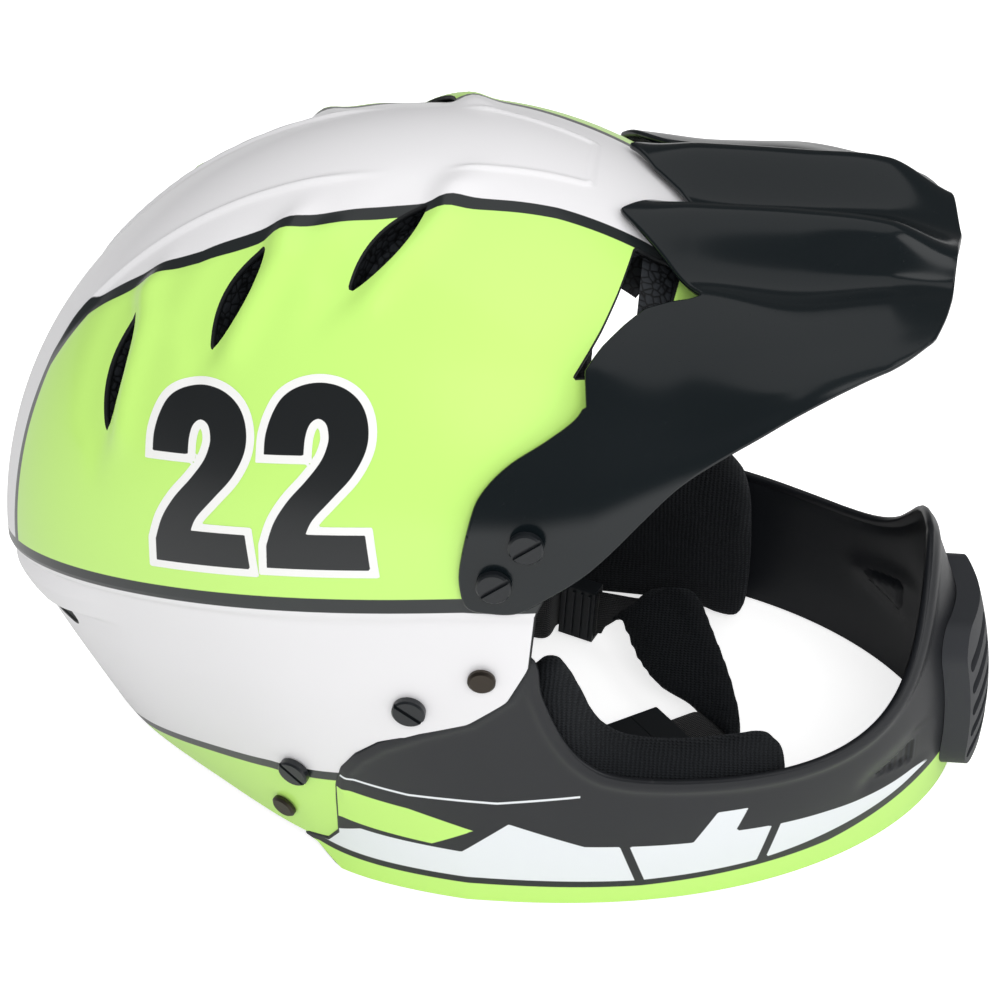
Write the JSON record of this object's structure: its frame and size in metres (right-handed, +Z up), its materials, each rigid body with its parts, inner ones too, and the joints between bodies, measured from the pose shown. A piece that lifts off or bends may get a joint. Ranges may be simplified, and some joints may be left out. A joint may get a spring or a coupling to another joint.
{
  "type": "downhill bike full face helmet",
  "caption": "Full face cycling helmet with a deep skirted shell, screwed-on chin guard with mouth grille, ribbed tilting visor, knit pads and buckled chin strap.",
  "frame": {"origin": "under the middle of the helmet's length and width, on the plane of the chin guard's flat bottom rim", "axes": "+X forward through the mouth grille, +Y to the wearer's left, +Z up through the crown"},
  "size_m": [0.3553, 0.2336, 0.242],
  "materials": {
    "green_gloss_shell": "clear coated printed shell, bright green with a pale band",
    "grey_foam": "moulded closed cell foam, fine bead texture",
    "black_satin_shell": "satin black moulding with printed panels",
    "black_soft_plastic": "fine matt moulded plastic",
    "black_gloss_plastic": "high gloss injection moulding",
    "black_nylon": "moulded nylon, slightly shiny",
    "steel": "plain steel",
    "darkened_steel": "blackened steel",
    "black_webbing": "woven nylon webbing",
    "black_buckle_plastic": "acetal, slightly shiny",
    "black_knit": "brushed knit over foam"
  },
  "bodies": {
    "helmet": {"outer_shell": "green_gloss_shell", "eps_liner": "grey_foam", "chin_guard": "black_satin_shell", "mouth_grille": "black_soft_plastic", "visor_pivot_screws": "black_nylon", "visor_lock_screws": "black_nylon", "visor_nuts": "steel", "guard_screws": "black_nylon", "guard_nuts": "steel", "strap_rivets": "darkened_steel", "rivet_washers": "steel", "chin_strap_left": "black_webbing", "chin_strap_right": "black_webbing", "rear_strap_left": "black_webbing", "rear_strap_right": "black_webbing", "strap_sliders": "black_buckle_plastic", "buckle_socket": "black_buckle_plastic", "strap_sleeve": "black_knit", "cheek_pad_left": "black_knit", "cheek_pad_right": "black_knit", "brow_pad": "black_knit", "crown_pad": "black_knit", "nape_pad": "black_knit"},
    "visor": {"visor": "black_gloss_plastic"},
    "tongue": {"buckle_tongue": "black_buckle_plastic"}
  },
  "joints": [
    {"name": "visor_tilt", "type": "hinge", "parent": "helmet", "child": "visor", "pos_m": [0.02, 0, 0.157], "axis": [0, 1, 0], "range_deg": [-4, 4]},
    {"name": "buckle_release", "type": "slide", "parent": "helmet", "child": "tongue", "axis": [0.7818, 0.6215, -0.0501], "range_m": [0, 0.012]}
  ]
}
